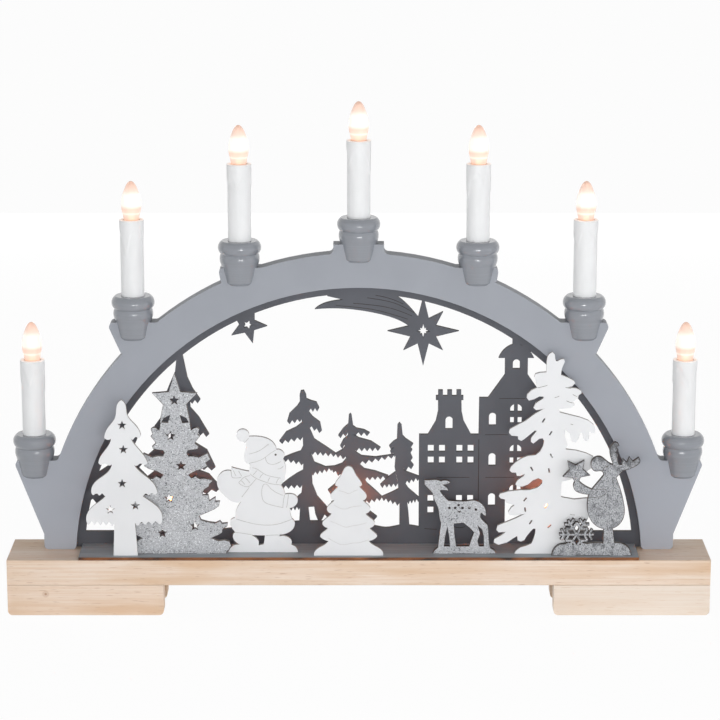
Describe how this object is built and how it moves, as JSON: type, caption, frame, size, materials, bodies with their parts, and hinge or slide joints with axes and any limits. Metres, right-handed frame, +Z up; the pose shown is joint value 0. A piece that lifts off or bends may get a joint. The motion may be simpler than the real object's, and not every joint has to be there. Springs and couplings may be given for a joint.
{
  "type": "candle arch",
  "caption": "Free-standing electric candle arch: grey arch with candle lights on a pine base, cut-out winter town panel behind and figures on a platform in front.",
  "frame": {"origin": "on the ground, below the middle of the base", "axes": "+X to the right along the base, +Y to the rear, +Z up; the front faces -Y"},
  "size_m": [0.45, 0.046, 0.3275],
  "materials": {
    "pine": "bare planed pine",
    "grey_paint": "satin grey paint on board",
    "dark_board": "matt dark grey paint on thin board",
    "grey_board": "matt grey paint on thin board",
    "white_board": "matt white paint on thin board",
    "silver_board": "silver-grey glitter paint on thin board",
    "grey_lacquer": "gloss grey lacquer on turned wood",
    "white_plastic": "satin white plastic",
    "holder_plastic": "satin off-white plastic",
    "bulb_glass": "clear glass",
    "bulb_brass": "plain rolled brass",
    "wire": "satin white insulation"
  },
  "bodies": {
    "stand": {"base_plank": "pine", "foot_front_left": "pine", "foot_front_right": "pine", "foot_rear_left": "pine", "foot_rear_right": "pine", "arch": "grey_paint", "back_panel": "dark_board", "platform": "grey_board", "white_tree": "white_board", "glitter_tree": "silver_board", "gift_bringer": "white_board", "small_tree": "white_board", "fawn": "silver_board", "tall_tree": "white_board", "moose": "silver_board", "wiring": "wire", "candle_cup_1": "grey_lacquer", "candle_sleeve_1": "white_plastic", "candle_lampholder_1": "holder_plastic", "candle_cup_2": "grey_lacquer", "candle_sleeve_2": "white_plastic", "candle_lampholder_2": "holder_plastic", "candle_cup_3": "grey_lacquer", "candle_sleeve_3": "white_plastic", "candle_lampholder_3": "holder_plastic", "candle_cup_4": "grey_lacquer", "candle_sleeve_4": "white_plastic", "candle_lampholder_4": "holder_plastic", "candle_cup_5": "grey_lacquer", "candle_sleeve_5": "white_plastic", "candle_lampholder_5": "holder_plastic", "candle_cup_6": "grey_lacquer", "candle_sleeve_6": "white_plastic", "candle_lampholder_6": "holder_plastic", "candle_cup_7": "grey_lacquer", "candle_sleeve_7": "white_plastic", "candle_lampholder_7": "holder_plastic", "scene_lampholder_1": "holder_plastic", "scene_lampholder_2": "holder_plastic", "scene_lampholder_3": "holder_plastic"},
    "candle_bulb_1_glass": {"candle_bulb_glass_1": "bulb_glass"},
    "candle_bulb_1_cap": {"candle_bulb_cap_1": "bulb_brass"},
    "candle_bulb_2_glass": {"candle_bulb_glass_2": "bulb_glass"},
    "candle_bulb_2_cap": {"candle_bulb_cap_2": "bulb_brass"},
    "candle_bulb_3_glass": {"candle_bulb_glass_3": "bulb_glass"},
    "candle_bulb_3_cap": {"candle_bulb_cap_3": "bulb_brass"},
    "candle_bulb_4_glass": {"candle_bulb_glass_4": "bulb_glass"},
    "candle_bulb_4_cap": {"candle_bulb_cap_4": "bulb_brass"},
    "candle_bulb_5_glass": {"candle_bulb_glass_5": "bulb_glass"},
    "candle_bulb_5_cap": {"candle_bulb_cap_5": "bulb_brass"},
    "candle_bulb_6_glass": {"candle_bulb_glass_6": "bulb_glass"},
    "candle_bulb_6_cap": {"candle_bulb_cap_6": "bulb_brass"},
    "candle_bulb_7_glass": {"candle_bulb_glass_7": "bulb_glass"},
    "candle_bulb_7_cap": {"candle_bulb_cap_7": "bulb_brass"},
    "scene_bulb_1_glass": {"scene_bulb_glass_1": "bulb_glass"},
    "scene_bulb_1_cap": {"scene_bulb_cap_1": "bulb_brass"},
    "scene_bulb_2_glass": {"scene_bulb_glass_2": "bulb_glass"},
    "scene_bulb_2_cap": {"scene_bulb_cap_2": "bulb_brass"},
    "scene_bulb_3_glass": {"scene_bulb_glass_3": "bulb_glass"},
    "scene_bulb_3_cap": {"scene_bulb_cap_3": "bulb_brass"}
  },
  "joints": [
    {"name": "candle_bulb_1_rise", "type": "slide", "parent": "stand", "child": "candle_bulb_1_glass", "axis": [0, 0, 1], "range_m": [0, 0.00724]},
    {"name": "candle_bulb_1_turn", "type": "hinge", "parent": "candle_bulb_1_glass", "child": "candle_bulb_1_cap", "pos_m": [-0.20838, 0.0067, 0.1583], "axis": [0, 0, 1], "range_deg": [0, 1440]},
    {"name": "candle_bulb_2_rise", "type": "slide", "parent": "stand", "child": "candle_bulb_2_glass", "axis": [0, 0, 1], "range_m": [0, 0.00724]},
    {"name": "candle_bulb_2_turn", "type": "hinge", "parent": "candle_bulb_2_glass", "child": "candle_bulb_2_cap", "pos_m": [-0.1433, 0.0067, 0.2491], "axis": [0, 0, 1], "range_deg": [0, 1440]},
    {"name": "candle_bulb_3_rise", "type": "slide", "parent": "stand", "child": "candle_bulb_3_glass", "axis": [0, 0, 1], "range_m": [0, 0.00724]},
    {"name": "candle_bulb_3_turn", "type": "hinge", "parent": "candle_bulb_3_glass", "child": "candle_bulb_3_cap", "pos_m": [-0.0753, 0.0067, 0.2846], "axis": [0, 0, 1], "range_deg": [0, 1440]},
    {"name": "candle_bulb_4_rise", "type": "slide", "parent": "stand", "child": "candle_bulb_4_glass", "axis": [0, 0, 1], "range_m": [0, 0.00724]},
    {"name": "candle_bulb_4_turn", "type": "hinge", "parent": "candle_bulb_4_glass", "child": "candle_bulb_4_cap", "pos_m": [0, 0.0067, 0.2995], "axis": [0, 0, 1], "range_deg": [0, 1440]},
    {"name": "candle_bulb_5_rise", "type": "slide", "parent": "stand", "child": "candle_bulb_5_glass", "axis": [0, 0, 1], "range_m": [0, 0.00724]},
    {"name": "candle_bulb_5_turn", "type": "hinge", "parent": "candle_bulb_5_glass", "child": "candle_bulb_5_cap", "pos_m": [0.0753, 0.0067, 0.2846], "axis": [0, 0, 1], "range_deg": [0, 1440]},
    {"name": "candle_bulb_6_rise", "type": "slide", "parent": "stand", "child": "candle_bulb_6_glass", "axis": [0, 0, 1], "range_m": [0, 0.00724]},
    {"name": "candle_bulb_6_turn", "type": "hinge", "parent": "candle_bulb_6_glass", "child": "candle_bulb_6_cap", "pos_m": [0.1433, 0.0067, 0.2491], "axis": [0, 0, 1], "range_deg": [0, 1440]},
    {"name": "candle_bulb_7_rise", "type": "slide", "parent": "stand", "child": "candle_bulb_7_glass", "axis": [0, 0, 1], "range_m": [0, 0.00724]},
    {"name": "candle_bulb_7_turn", "type": "hinge", "parent": "candle_bulb_7_glass", "child": "candle_bulb_7_cap", "pos_m": [0.20838, 0.0067, 0.1583], "axis": [0, 0, 1], "range_deg": [0, 1440]},
    {"name": "scene_bulb_1_rise", "type": "slide", "parent": "stand", "child": "scene_bulb_1_glass", "axis": [0, 0, 1], "range_m": [0, 0.00724]},
    {"name": "scene_bulb_1_turn", "type": "hinge", "parent": "scene_bulb_1_glass", "child": "scene_bulb_1_cap", "pos_m": [-0.11699, -0.0016, 0.0493], "axis": [0, 0, 1], "range_deg": [0, 1440]},
    {"name": "scene_bulb_2_rise", "type": "slide", "parent": "stand", "child": "scene_bulb_2_glass", "axis": [0, 0, 1], "range_m": [0, 0.00724]},
    {"name": "scene_bulb_2_turn", "type": "hinge", "parent": "scene_bulb_2_glass", "child": "scene_bulb_2_cap", "pos_m": [-0.00562, -0.0016, 0.0493], "axis": [0, 0, 1], "range_deg": [0, 1440]},
    {"name": "scene_bulb_3_rise", "type": "slide", "parent": "stand", "child": "scene_bulb_3_glass", "axis": [0, 0, 1], "range_m": [0, 0.00724]},
    {"name": "scene_bulb_3_turn", "type": "hinge", "parent": "scene_bulb_3_glass", "child": "scene_bulb_3_cap", "pos_m": [0.11925, -0.0016, 0.0493], "axis": [0, 0, 1], "range_deg": [0, 1440]}
  ],
  "couplings": [
    {"joint": "candle_bulb_1_turn", "follows": "candle_bulb_1_rise", "rad_per_m": 3471.4},
    {"joint": "candle_bulb_2_turn", "follows": "candle_bulb_2_rise", "rad_per_m": 3471.4},
    {"joint": "candle_bulb_3_turn", "follows": "candle_bulb_3_rise", "rad_per_m": 3471.4},
    {"joint": "candle_bulb_4_turn", "follows": "candle_bulb_4_rise", "rad_per_m": 3471.4},
    {"joint": "candle_bulb_5_turn", "follows": "candle_bulb_5_rise", "rad_per_m": 3471.4},
    {"joint": "candle_bulb_6_turn", "follows": "candle_bulb_6_rise", "rad_per_m": 3471.4},
    {"joint": "candle_bulb_7_turn", "follows": "candle_bulb_7_rise", "rad_per_m": 3471.4},
    {"joint": "scene_bulb_1_turn", "follows": "scene_bulb_1_rise", "rad_per_m": 3471.4},
    {"joint": "scene_bulb_2_turn", "follows": "scene_bulb_2_rise", "rad_per_m": 3471.4},
    {"joint": "scene_bulb_3_turn", "follows": "scene_bulb_3_rise", "rad_per_m": 3471.4}
  ]
}
